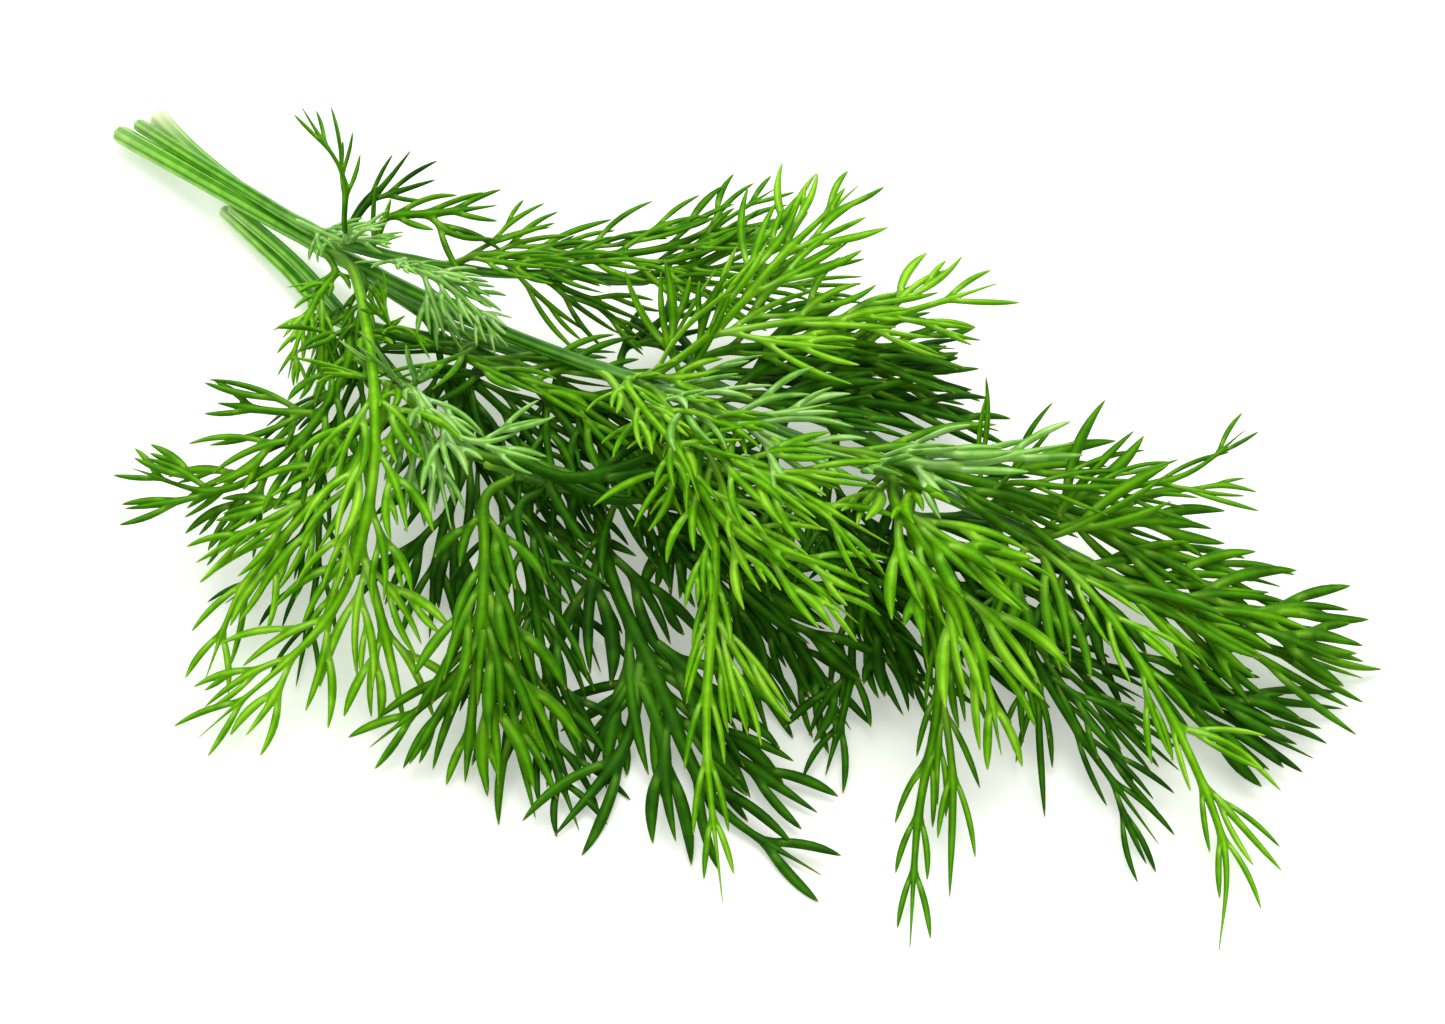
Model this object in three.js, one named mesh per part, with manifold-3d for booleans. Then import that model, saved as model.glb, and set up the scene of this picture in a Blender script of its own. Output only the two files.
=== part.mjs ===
// A bunch of fresh dill, lying as it was put down: five cut stems and the feathery leaves they carry.
// Every stem and every leaf is a solid of its own. A leaf is one closed body: its rib, the side
// ribs that fork off it, and the pinnae along them as slender tapered tubes.
// +X runs from the cut ends to the leaf tips, +Z is up, and the bunch rests on z = 0.
import * as THREE from 'three';
import { mergeVertices } from 'three/addons/utils/BufferGeometryUtils.js';
import Module from 'manifold-3d';

const wasm = await Module();
wasm.setup();

// ---- Driving sizes, in millimetres ----------------------------------------------------------
const BUNCH_LENGTH = 247; // along X, between the furthest points of the ribs and stems
const BUNCH_WIDTH = 138; // along Y, between the same
const BUNCH_HEIGHT = 33; // of the highest rib above the lowest
const CLEARANCE = 0.35; // kept between any two pieces
const STEM_STEP = 9; // between rings along a stem
const RIB_STEP = 8; // between rings along a rib
const RIB_RADIUS = 0.85; // of a leaf's main rib where it leaves the stem
const SIDE_RIB_RADIUS = 0.7; // of a side rib where it forks off
const RIB_TIP_RADIUS = 0.4;
const PINNA_RADIUS = 0.6;
const PINNA_TIP_RADIUS = 0.35;
const PINNA_SPACING = 12; // between pairs along a rib
const PINNA_LEAST = 3; // a pinna with less room than this doesn't grow
const PINNA_ANGLE = 40; // between a pinna and its rib, in degrees
const PINNA_DROOP = 0.14; // how far a pinna bends down, as a share of its length
const PINNA_FALLOFF = 0.55; // how much shorter pinnae are at a rib's tip than at its base
const PAIR_STARTS = { left: 0.2, right: 0.35 }; // of a pair's pinnae, as shares of a rib step
const STEM_SIDES = 8;
const RIB_SIDES = 4;
const PINNA_SIDES = 3;

// ---- Stems ----------------------------------------------------------------------------------
// Each route runs through the stem's middle from its cut end, in millimetres.
const STEMS = {
  front_stem: {
    base: 1.6, tip: 0.7, colour: 0x5fae2a,
    route: [[-141, 13, 3], [-85, 8, 10], [-45, 6, 17], [0, 12, 20], [35, 19, 17], [57, 23, 13]],
  },
  middle_stem: {
    base: 1.2, tip: 0.6, colour: 0x4f9f22,
    route: [[-139, 16, 4], [-112, 12, 8], [-85, 8, 14], [-60, 13, 18], [-47, 20, 19], [-34, 28, 18]],
  },
  back_stem: {
    base: 1.4, tip: 0.6, colour: 0x6fb43a,
    route: [[-138, 20, 3], [-126, 17, 3], [-108, 13, 5], [-85, 10, 6], [-60, 7, 9], [-35, 10, 12],
      [-14, 17, 15], [5, 24, 12], [22, 28, 9]],
  },
  lower_stem: {
    base: 1.3, tip: 0.6, colour: 0x57a52b,
    route: [[-114, 10, 2], [-96, 5, 3], [-79, 0, 5], [-57, 6, 7], [-36, 5, 8], [-10, 1, 8], [20, -2, 5]],
  },
  side_stem: {
    base: 0.9, tip: 0.6, colour: 0x3f8d1c,
    route: [[-112, 10, 4], [-93, 5, 6], [-74, -3, 10], [-55, -11, 13], [-40, -15, 13], [-25, -13, 13],
      [-12, -6, 11]],
  },
};

// ---- Leaves ---------------------------------------------------------------------------------
// A leaf leaves its stem at a share of the stem's length. The first rib is its main rib, and
// each further rib forks off that one. reach is the longest pinna, and tone is the leaf's green.
const TONES = { pale: 0x7fc94a, bright: 0x5cb020, mid: 0x3c8a14, dark: 0x1f5c0c };
const LEAVES = {
  leaf_upright: {
    stem: 'middle_stem', at: 0.53, tone: 'mid',
    ribs: [
      { reach: 5, route: [[-82, 6, 20], [-84, 10, 29], [-90, 12, 32], [-97, 15, 34]] },
      { reach: 4, route: [[-83, 9, 27], [-88, 14, 32], [-93, 18, 34]] },
    ],
  },
  leaf_back_dark: {
    stem: 'middle_stem', at: 0.5, tone: 'dark',
    ribs: [
      { reach: 7, route: [[-84, 13, 18], [-82, 18, 22], [-82, 25, 24]] },
      { reach: 6, route: [[-83, 15, 20], [-74, 22, 24]] },
    ],
  },
  leaf_back_fan: {
    stem: 'middle_stem', at: 0.56, tone: 'mid',
    ribs: [
      { reach: 8, route: [[-79, 12, 20], [-70, 15, 24], [-60, 21, 27]] },
      { reach: 7, route: [[-70, 14, 23], [-64, 14, 23], [-57, 17, 24]] },
    ],
  },
  leaf_upper: {
    stem: 'middle_stem', at: 0.71, tone: 'mid',
    ribs: [
      { reach: 13, route: [[-60, 14, 21], [-45, 23, 22], [-33, 35, 22], [-27, 55, 22]] },
      { reach: 11, route: [[-56, 16, 19], [-45, 20, 16], [-32, 26, 10]] },
    ],
  },
  leaf_upper_tip: {
    stem: 'middle_stem', at: 0.97, tone: 'mid',
    ribs: [
      { reach: 11, route: [[-33, 29, 20], [-27, 35, 22], [-23, 47, 24]] },
      { reach: 13, route: [[-31, 29, 19], [-20, 38, 17], [-12, 54, 15]] },
    ],
  },
  leaf_crown: {
    stem: 'front_stem', at: 0.6, tone: 'bright',
    ribs: [
      { reach: 14, route: [[-17, 12, 25], [-13, 20, 30], [-12, 35, 33], [-10, 54, 34]] },
      { reach: 15, route: [[-13, 18, 28], [-5, 27, 28], [5, 41, 23], [15, 59, 21]] },
    ],
  },
  leaf_crown_side: {
    stem: 'front_stem', at: 0.63, tone: 'mid',
    ribs: [
      { reach: 14, route: [[-16, 15, 23], [-8, 25, 22], [2, 36, 18], [14, 48, 14]] },
      { reach: 13, route: [[-8, 25, 21], [2, 31, 17], [15, 45, 11]] },
    ],
  },
  leaf_right_upper: {
    stem: 'front_stem', at: 0.67, tone: 'dark',
    ribs: [{ reach: 15, route: [[-7, 14, 21], [5, 23, 19], [15, 32, 15], [28, 40, 10]] }],
  },
  leaf_pale: {
    stem: 'front_stem', at: 0.62, tone: 'pale',
    ribs: [
      { reach: 13, route: [[-11, 5, 27], [-2, 3, 30], [6, 7, 32], [12, 13, 33]] },
      { reach: 11, route: [[0, 4, 30], [10, 6, 28], [19, 11, 26]] },
    ],
  },
  leaf_tuft: {
    stem: 'front_stem', at: 0.59, tone: 'bright',
    ribs: [
      { reach: 9, route: [[-20, 2, 26], [-12, -3, 29], [-2, -8, 31], [5, -13, 29]] },
      { reach: 8, route: [[-4, -7, 31], [5, -1, 33]] },
    ],
  },
  leaf_centre: {
    stem: 'front_stem', at: 0.61, tone: 'bright',
    ribs: [
      { reach: 14, route: [[-13, 3, 25], [0, -3, 29], [15, -3, 30], [32, 0, 25]] },
      { reach: 11, route: [[3, -3, 29], [12, -1, 30], [21, 2, 29]] },
    ],
  },
  leaf_centre_low: {
    stem: 'front_stem', at: 0.66, tone: 'bright',
    ribs: [
      { reach: 14, route: [[-5, 2, 24], [0, -7, 26], [10, -13, 28], [24, -14, 27], [35, -13, 21]] },
    ],
  },
  leaf_hanging: {
    stem: 'front_stem', at: 0.57, tone: 'bright',
    ribs: [
      { reach: 9, route: [[-18, 0, 23], [-4, -7, 24], [8, -14, 25], [15, -24, 23], [25, -40, 14],
        [40, -57, 3]] },
      { reach: 10, route: [[16, -25, 22], [24, -28, 18], [33, -29, 12]] },
    ],
  },
  leaf_outer: {
    stem: 'front_stem', at: 0.8, tone: 'pale',
    ribs: [
      { reach: 11, route: [[24, 14, 26], [33, 16, 29], [40, 24, 29], [46, 31, 29]] },
      { reach: 6, route: [[28, 14, 27], [36, 10, 28]] },
    ],
  },
  leaf_outer_low: {
    stem: 'front_stem', at: 0.82, tone: 'bright',
    ribs: [
      { reach: 14, route: [[28, 7, 25], [40, 1, 25], [52, -6, 20], [62, -14, 9]] },
      { reach: 13, route: [[31, 5, 25], [42, 5, 26], [55, 7, 23]] },
    ],
  },
  leaf_long_hanging: {
    stem: 'front_stem', at: 0.84, tone: 'mid',
    ribs: [
      { reach: 9, route: [[30, 8, 20], [42, -2, 18], [50, -14, 11], [56, -28, 5], [67, -47, 2]] },
      { reach: 8, route: [[49, -12, 13], [57, -20, 7], [67, -36, 2]] },
    ],
  },
  leaf_far_top: {
    stem: 'front_stem', at: 0.89, tone: 'mid',
    ribs: [{ reach: 13, route: [[37, 24, 20], [48, 29, 21], [60, 41, 20], [64, 55, 21]] }],
  },
  leaf_tip_upper: {
    stem: 'front_stem', at: 0.95, tone: 'mid',
    ribs: [{ reach: 13, route: [[50, 26, 17], [65, 32, 13], [81, 40, 8]] }],
  },
  leaf_tip: {
    stem: 'front_stem', at: 0.99, tone: 'mid',
    ribs: [
      { reach: 15, route: [[62, 22, 14], [75, 24, 11], [99, 36, 2]] },
      { reach: 12, route: [[68, 23, 13], [80, 29, 11], [92, 36, 8]] },
    ],
  },
  leaf_tip_lower: {
    stem: 'front_stem', at: 0.97, tone: 'dark',
    ribs: [
      { reach: 12, route: [[58, 16, 12], [75, 14, 7], [100, 18, 2]] },
      { reach: 10, route: [[75, 14, 7], [86, 21, 4], [99, 29, 2]] },
    ],
  },
  leaf_lower_right: {
    stem: 'front_stem', at: 0.93, tone: 'bright',
    ribs: [
      { reach: 9, route: [[58, 17, 15], [72, 10, 14], [87, 2, 8], [98, -7, 4], [105, -21, 2]] },
      { reach: 8, route: [[82, 6, 11], [90, 9, 8], [99, 9, 3]] },
      { reach: 6, route: [[91, 0, 6], [106, -3, 2]] },
    ],
  },
  leaf_bottom_right: {
    stem: 'front_stem', at: 0.91, tone: 'dark',
    ribs: [
      { reach: 12, route: [[46, 14, 13], [50, 8, 13], [65, 0, 7], [88, -9, 1]] },
      { reach: 12, route: [[54, 5, 12], [66, 5, 8], [84, 4, 2]] },
      { reach: 8, route: [[55, 4, 11], [62, -3, 6], [71, -15, 1]] },
    ],
  },
  leaf_bottom_mid: {
    stem: 'back_stem', at: 0.9, tone: 'dark',
    ribs: [
      { reach: 13, route: [[11, 14, 10], [18, 4, 9], [32, -3, 6], [49, -8, 2]] },
      { reach: 9, route: [[25, -3, 7], [33, -12, 4], [39, -28, 1]] },
    ],
  },
  leaf_table: {
    stem: 'lower_stem', at: 0.69, tone: 'dark',
    ribs: [
      { reach: 15, route: [[-20, -6, 8], [-10, -18, 8], [8, -30, 6], [28, -42, 2], [49, -43, 1]] },
      { reach: 11, route: [[6, -29, 6], [11, -42, 3], [11, -61, 1]] },
      { reach: 6, route: [[4, -28, 6], [4, -37, 3], [0, -45, 1]] },
      { reach: 9, route: [[14, -34, 4], [42, -34, 1]] },
    ],
  },
  leaf_bottom_left: {
    stem: 'side_stem', at: 0.82, tone: 'mid',
    ribs: [
      { reach: 11, route: [[-31, -22, 15], [-21, -35, 17], [-15, -48, 11], [-22, -65, 2]] },
      { reach: 13, route: [[-19, -38, 15], [-8, -47, 8], [7, -60, 1]] },
      { reach: 11, route: [[-14, -46, 12], [-6, -61, 1]] },
    ],
  },
  leaf_bottom_fill: {
    stem: 'side_stem', at: 0.87, tone: 'dark',
    ribs: [
      { reach: 13, route: [[-27, -19, 12], [-16, -30, 12], [-4, -41, 6], [9, -46, 1]] },
      { reach: 12, route: [[-15, -32, 10], [-4, -45, 5], [14, -58, 1]] },
    ],
  },
  leaf_left_hanging: {
    stem: 'front_stem', at: 0.28, tone: 'bright',
    ribs: [
      { reach: 13, route: [[-77, 2, 17], [-65, -9, 21], [-50, -25, 25], [-40, -40, 22], [-37, -55, 13],
        [-45, -79, 2]] },
      { reach: 12, route: [[-38, -44, 19], [-30, -50, 13], [-19, -59, 2]] },
    ],
  },
  leaf_left_fork: {
    stem: 'side_stem', at: 0.57, tone: 'bright',
    ribs: [
      { reach: 13, route: [[-56, -15, 18], [-49, -27, 21], [-51, -42, 17], [-54, -56, 9], [-51, -70, 2]] },
      { reach: 9, route: [[-51, -40, 18], [-56, -46, 15], [-63, -57, 10]] },
    ],
  },
  leaf_left: {
    stem: 'lower_stem', at: 0.3, tone: 'mid',
    ribs: [
      { reach: 14, route: [[-72, -6, 12], [-65, -15, 16], [-61, -32, 17], [-66, -46, 15], [-82, -50, 14]] },
      { reach: 11, route: [[-62, -26, 17], [-68, -30, 18], [-77, -34, 18]] },
      { reach: 9, route: [[-61, -39, 15], [-62, -46, 10], [-68, -52, 6]] },
    ],
  },
  leaf_left_low: {
    stem: 'lower_stem', at: 0.35, tone: 'dark',
    ribs: [
      { reach: 11, route: [[-68, -8, 8], [-62, -23, 10], [-55, -41, 5], [-59, -56, 1]] },
      { reach: 10, route: [[-57, -35, 7], [-49, -44, 4], [-39, -62, 1]] },
    ],
  },
  leaf_small_tuft: {
    stem: 'lower_stem', at: 0.26, tone: 'mid',
    ribs: [
      { reach: 6, route: [[-78, -4, 11], [-76, -9, 11], [-73, -14, 5]] },
      { reach: 6, route: [[-77, -6, 12], [-69, -12, 6]] },
    ],
  },
  leaf_curled: {
    stem: 'side_stem', at: 0.62, tone: 'pale',
    ribs: [
      { reach: 9, route: [[-52, -15, 21], [-43, -21, 26], [-28, -34, 20]] },
      { reach: 9, route: [[-48, -18, 23], [-36, -22, 26], [-29, -19, 27], [-27, -14, 28]] },
      { reach: 9, route: [[-48, -19, 22], [-42, -26, 20], [-38, -34, 16]] },
    ],
  },
  leaf_dark_blade: {
    stem: 'side_stem', at: 0.78, tone: 'dark',
    ribs: [
      { reach: 9, route: [[-30, -14, 16], [-18, -13, 19], [-4, 1, 26]] },
      { reach: 8, route: [[-27, -15, 15], [-17, -13, 15], [-7, -7, 15]] },
    ],
  },
  leaf_dark_back: {
    stem: 'back_stem', at: 0.67, tone: 'dark',
    ribs: [
      { reach: 9, route: [[-33, 18, 11], [-32, 27, 10], [-30, 40, 8]] },
      { reach: 8, route: [[-32, 20, 10], [-25, 34, 7]] },
    ],
  },
  leaf_mid_fill: {
    stem: 'lower_stem', at: 0.55, tone: 'dark',
    ribs: [
      { reach: 16, route: [[-34, 1, 11], [-19, -5, 11], [0, -7, 10], [17, -12, 6], [33, -20, 2]] },
      { reach: 15, route: [[-16, -5, 9], [-4, 0, 8], [11, 3, 7]] },
    ],
  },
  leaf_under: {
    stem: 'lower_stem', at: 0.44, tone: 'dark',
    ribs: [
      { reach: 14, route: [[-54, -1, 6], [-44, -10, 7], [-22, -18, 5], [-1, -32, 1]] },
      { reach: 12, route: [[-43, -11, 6], [-37, -27, 4], [-27, -43, 2]] },
    ],
  },
  leaf_inner: {
    stem: 'back_stem', at: 0.61, tone: 'dark',
    ribs: [
      { reach: 14, route: [[-37, 6, 10], [-23, 1, 12], [10, -4, 11]] },
      { reach: 13, route: [[-26, 2, 11], [-10, 5, 11], [6, 7, 10]] },
    ],
  },
  leaf_under_right: {
    stem: 'back_stem', at: 0.97, tone: 'dark',
    ribs: [
      { reach: 14, route: [[19, 20, 10], [31, 13, 9], [47, 9, 7], [73, 12, 3]] },
      { reach: 14, route: [[24, 17, 10], [38, 19, 10], [57, 21, 7]] },
    ],
  },
  leaf_node_pale: {
    stem: 'middle_stem', at: 0.42, tone: 'pale',
    ribs: [
      { reach: 7, route: [[-81, 5, 19], [-78, 5, 23], [-74, 9, 26]] },
      { reach: 5, route: [[-80, 5, 21], [-71, 6, 24]] },
    ],
  },
  leaf_node_hanging: {
    stem: 'front_stem', at: 0.26, tone: 'bright',
    ribs: [
      { reach: 6, route: [[-82, 3, 13], [-79, -5, 16], [-77, -13, 14], [-75, -19, 10]] },
      { reach: 5, route: [[-79, -5, 16], [-73, -12, 12], [-70, -17, 7]] },
    ],
  },
  leaf_node_drop: {
    stem: 'front_stem', at: 0.31, tone: 'mid',
    ribs: [
      { reach: 7, route: [[-75, 2, 14], [-70, -6, 14], [-66, -13, 9]] },
    ],
  },
  leaf_node_side: {
    stem: 'middle_stem', at: 0.63, tone: 'pale',
    ribs: [
      { reach: 8, route: [[-70, 5, 21], [-60, 4, 24], [-52, 4, 21], [-47, 3, 17]] },
      { reach: 7, route: [[-62, 4, 24], [-55, -1, 17]] },
    ],
  },
  leaf_node_low: {
    stem: 'side_stem', at: 0.43, tone: 'bright',
    ribs: [
      { reach: 7, route: [[-65, -5, 16], [-61, -4, 19], [-56, -4, 17]] },
      { reach: 6, route: [[-65, -5, 18], [-67, -4, 24]] },
    ],
  },
  leaf_inner_upper: {
    stem: 'back_stem', at: 0.52, tone: 'mid',
    ribs: [
      { reach: 15, route: [[-54, 0, 13], [-40, 2, 14], [-22, 2, 13], [-7, 0, 10]] },
      { reach: 12, route: [[-42, 2, 14], [-32, 3, 15], [-22, 7, 15]] },
    ],
  },
  leaf_inner_low: {
    stem: 'lower_stem', at: 0.5, tone: 'dark',
    ribs: [
      { reach: 14, route: [[-51, -1, 11], [-35, -5, 9], [-12, -15, 4]] },
    ],
  },
  leaf_inner_thin: {
    stem: 'back_stem', at: 0.44, tone: 'dark',
    ribs: [
      { reach: 11, route: [[-62, 4, 9], [-50, -6, 6], [-27, -19, 2]] },
    ],
  },
  leaf_back_sweep: {
    stem: 'back_stem', at: 0.8, tone: 'dark',
    ribs: [
      { reach: 15, route: [[-18, 19, 13], [-8, 27, 13], [5, 35, 11], [20, 43, 5]] },
      { reach: 14, route: [[-8, 27, 13], [0, 39, 12], [7, 51, 8]] },
    ],
  },
  leaf_right_fill: {
    stem: 'front_stem', at: 0.78, tone: 'mid',
    ribs: [
      { reach: 15, route: [[18, 15, 22], [40, 25, 18], [64, 37, 9]] },
    ],
  },
  leaf_tip_middle: {
    stem: 'front_stem', at: 0.94, tone: 'mid',
    ribs: [
      { reach: 14, route: [[49, 18, 15], [65, 25, 12], [81, 34, 6]] },
    ],
  },
  leaf_low_sweep: {
    stem: 'back_stem', at: 0.85, tone: 'dark',
    ribs: [
      { reach: 14, route: [[0, 11, 10], [15, 7, 9], [35, 5, 7], [60, 6, 2]] },
      { reach: 12, route: [[17, 7, 9], [29, 2, 6], [44, -5, 2]] },
    ],
  },
  leaf_table_side: {
    stem: 'lower_stem', at: 0.8, tone: 'dark',
    ribs: [
      { reach: 13, route: [[2, -9, 8], [15, -9, 7], [38, -19, 2]] },
      { reach: 11, route: [[4, -10, 7], [15, -17, 4], [28, -27, 1]] },
    ],
  },
};

// ---- Routes ---------------------------------------------------------------------------------
// The routes above keep their shape and are stretched to the bunch's own length, width and height.
const everyRoute = [
  ...Object.values(STEMS).map((stem) => stem.route),
  ...Object.values(LEAVES).flatMap((leaf) => leaf.ribs.map((rib) => rib.route)),
];
const drawn = new THREE.Box3().setFromPoints(everyRoute.flat().map((point) => new THREE.Vector3(...point)));
const stretch = new THREE.Vector3(BUNCH_LENGTH, BUNCH_WIDTH, BUNCH_HEIGHT)
  .divide(drawn.getSize(new THREE.Vector3()));

function stretched(route) {
  return route.map(([x, y, z]) => new THREE.Vector3(x * stretch.x, y * stretch.y, z * stretch.z));
}

const TENSION = 0.5; // of the curve through a route: an even, uniform one

// Points at an even spacing, close to step, along a smooth curve through a route.
function evenPoints(points, step) {
  const curve = new THREE.CatmullRomCurve3(points, false, 'catmullrom', TENSION);
  const count = Math.max(2, Math.round(curve.getLength() / step));
  return curve.getSpacedPoints(count);
}

// A strand is a chain of points with a radius at each: a stem, a rib or a pinna.
function strandOf(owner, points, baseRadius, tipRadius) {
  const radii = points.map((_, k) => THREE.MathUtils.lerp(baseRadius, tipRadius, k / (points.length - 1)));
  return { owner, points, radii };
}

// ---- Clearance ------------------------------------------------------------------------------
const PARALLEL = 1e-9; // two segments with less spread than this run side by side
const TOUCHING = 1e-3; // two segments closer than this give no way to part them
const SHARED_MOVE = 0.55; // what each of two strands moves, as a share of what they are short
const WHOLE_MOVE = 1.05; // what a strand moves beside a fixed one
const EASE_ROUNDS = 90;
const UPWARD = 2; // strands part mostly up and down, as a pile does

// The shares s and t along the segments a-b and c-d at which they come closest.
function closestShares(a, b, c, d) {
  const u = b.clone().sub(a);
  const v = d.clone().sub(c);
  const w = a.clone().sub(c);
  const uu = u.dot(u);
  const vv = v.dot(v);
  const uv = u.dot(v);
  const uw = u.dot(w);
  const vw = v.dot(w);
  const spread = uu * vv - uv * uv;
  const clamp = (x) => THREE.MathUtils.clamp(x, 0, 1);
  let s = spread > PARALLEL ? clamp((uv * vw - vv * uw) / spread) : 0;
  const t = clamp((uv * s + vw) / vv);
  s = clamp((uv * t - uw) / uu);
  return [s, t];
}

// How far two segments of two strands are short of their clearance, and the way to part them.
function shortfall(one, i, other, j) {
  const [a, b] = [one.points[i], one.points[i + 1]];
  const [c, d] = [other.points[j], other.points[j + 1]];
  const need = Math.max(one.radii[i], one.radii[i + 1]) + Math.max(other.radii[j], other.radii[j + 1])
    + CLEARANCE;
  const apart = a.clone().add(b).sub(c).sub(d).length() / 2;
  if (apart > need + (a.distanceTo(b) + c.distanceTo(d)) / 2) return null;
  const [s, t] = closestShares(a, b, c, d);
  const way = a.clone().lerp(b, s).sub(c.clone().lerp(d, t));
  const distance = way.length();
  if (distance >= need) return null;
  return { amount: need - distance, way, s, t };
}

// Parts strands of different pieces until they clear each other and what is already fixed.
function easeApart(moving, fixed) {
  for (let round = 0; round < EASE_ROUNDS; round += 1) {
    let clear = true;
    moving.forEach((one, m) => {
      for (const other of [...moving.slice(m + 1), ...fixed]) {
        if (other.owner === one.owner) continue;
        const otherMoves = !fixed.includes(other);
        for (let i = 0; i + 1 < one.points.length; i += 1) {
          for (let j = 0; j + 1 < other.points.length; j += 1) {
            const short = shortfall(one, i, other, j);
            if (!short) continue;
            clear = false;
            const way = short.way;
            way.z *= UPWARD;
            if (way.length() < TOUCHING) way.set(0, 0, 1);
            way.setLength(short.amount * (otherMoves ? SHARED_MOVE : WHOLE_MOVE));
            shift(one, i, short.s, way);
            if (otherMoves) shift(other, j, short.t, way.negate());
          }
        }
      }
    });
    if (clear) return;
  }
}

// Moves the two ends of a segment, each by its share. A strand's first point is held.
function shift(strand, i, share, way) {
  if (i > 0) strand.points[i].addScaledVector(way, 1 - share);
  strand.points[i + 1].addScaledVector(way, Math.max(share, i > 0 ? 0 : 1));
  restOnSurface(strand);
}

// No strand goes below the surface: a part that would lies along it.
function restOnSurface(strand) {
  strand.points.forEach((point, k) => {
    point.z = Math.max(point.z, strand.radii[k]);
  });
}

// ---- Solids ---------------------------------------------------------------------------------
const WELD = 1e-4; // corners closer than this are one
const MERGE_TOLERANCE = 0.12; // slivers thinner than this are closed up after a join

// A closed tube along a strand: a cylinder whose rings are moved onto the strand's points.
function tube(strand, sides) {
  const { points, radii } = strand;
  const steps = points.length - 1;
  const geometry = new THREE.CylinderGeometry(1, 1, 1, sides, steps);
  geometry.deleteAttribute('normal');
  geometry.deleteAttribute('uv');
  const rings = points.map((point, k) => {
    const along = points[Math.min(k + 1, steps)].clone().sub(points[Math.max(k - 1, 0)]).normalize();
    const side = new THREE.Vector3(0, 0, 1).cross(along).normalize();
    return { point, side, along, normal: side.clone().cross(along), radius: radii[k] };
  });
  const place = geometry.getAttribute('position');
  for (let v = 0; v < place.count; v += 1) {
    const ring = rings[Math.round((place.getY(v) + 0.5) * steps)];
    const at = ring.point.clone()
      .addScaledVector(ring.side, place.getX(v) * ring.radius)
      .addScaledVector(ring.normal, place.getZ(v) * ring.radius);
    place.setXYZ(v, at.x, at.y, at.z);
  }
  return mergeVertices(geometry, WELD);
}

function solidOf(geometry) {
  return new wasm.Manifold(new wasm.Mesh({
    numProp: 3,
    vertProperties: geometry.getAttribute('position').array,
    triVerts: new Uint32Array(geometry.index.array),
  }));
}

function geometryOf(solid) {
  const mesh = solid.getMesh();
  const geometry = new THREE.BufferGeometry();
  geometry.setAttribute('position', new THREE.BufferAttribute(mesh.vertProperties, 3));
  geometry.setIndex(new THREE.BufferAttribute(mesh.triVerts, 1));
  geometry.computeVertexNormals();
  return geometry;
}

// Crossing pinnae can close in a tiny hollow, whose skin is left out so that the leaf is solid.
function joined(geometries) {
  const whole = geometries.map(solidOf).reduce((sum, solid) => sum.add(solid));
  const skins = whole.simplify(MERGE_TOLERANCE).decompose().filter((skin) => skin.volume() > 0);
  return geometryOf(skins.reduce((sum, skin) => sum.add(skin)));
}

// ---- Growing the bunch ----------------------------------------------------------------------
const stems = Object.entries(STEMS).map(([name, stem]) => (
  strandOf(name, evenPoints(stretched(stem.route), STEM_STEP), stem.base, stem.tip)
));
easeApart(stems, []);

const BASE_STANDOFF = CLEARANCE * 1.2; // between a stem's skin and a leaf's base

// The main rib starts at its stem's skin, on the side that faces the way the leaf goes.
function mainRib(name, leaf) {
  const stem = stems.find((strand) => strand.owner === leaf.stem);
  const place = leaf.at * (stem.points.length - 1);
  const k = Math.min(Math.floor(place), stem.points.length - 2);
  const onStem = stem.points[k].clone().lerp(stem.points[k + 1], place - k);
  const along = stem.points[k + 1].clone().sub(stem.points[k]).normalize();
  const route = stretched(leaf.ribs[0].route);
  const outward = route[0].clone().sub(onStem);
  outward.addScaledVector(along, -outward.dot(along)).normalize();
  const stemRadius = stem.radii[k];
  const base = onStem.addScaledVector(outward, stemRadius + BASE_STANDOFF + RIB_RADIUS);
  return strandOf(name, evenPoints([base, ...route], RIB_STEP), RIB_RADIUS, RIB_TIP_RADIUS);
}

// A side rib starts inside the main rib, at the ring nearest the start of its route.
function sideRib(name, main, rib) {
  const route = stretched(rib.route);
  const rings = main.points.slice(1, -1);
  const fork = rings.reduce((best, point) => (
    point.distanceTo(route[0]) < best.distanceTo(route[0]) ? point : best
  ));
  const points = evenPoints([fork.clone(), ...route.slice(1)], RIB_STEP);
  return strandOf(name, points, SIDE_RIB_RADIUS, RIB_TIP_RADIUS);
}

const mains = Object.entries(LEAVES).map(([name, leaf]) => mainRib(name, leaf));
mains.forEach(restOnSurface);
easeApart(mains, stems);
const sides = Object.entries(LEAVES).flatMap(([name, leaf], n) => (
  leaf.ribs.slice(1).map((rib) => sideRib(name, mains[n], rib))
));
sides.forEach(restOnSurface);
easeApart(sides, [...stems, ...mains]);

const OWN_LEAF_SHARE = 0.35; // a pinna may run close to its own leaf for this share of its length

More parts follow.
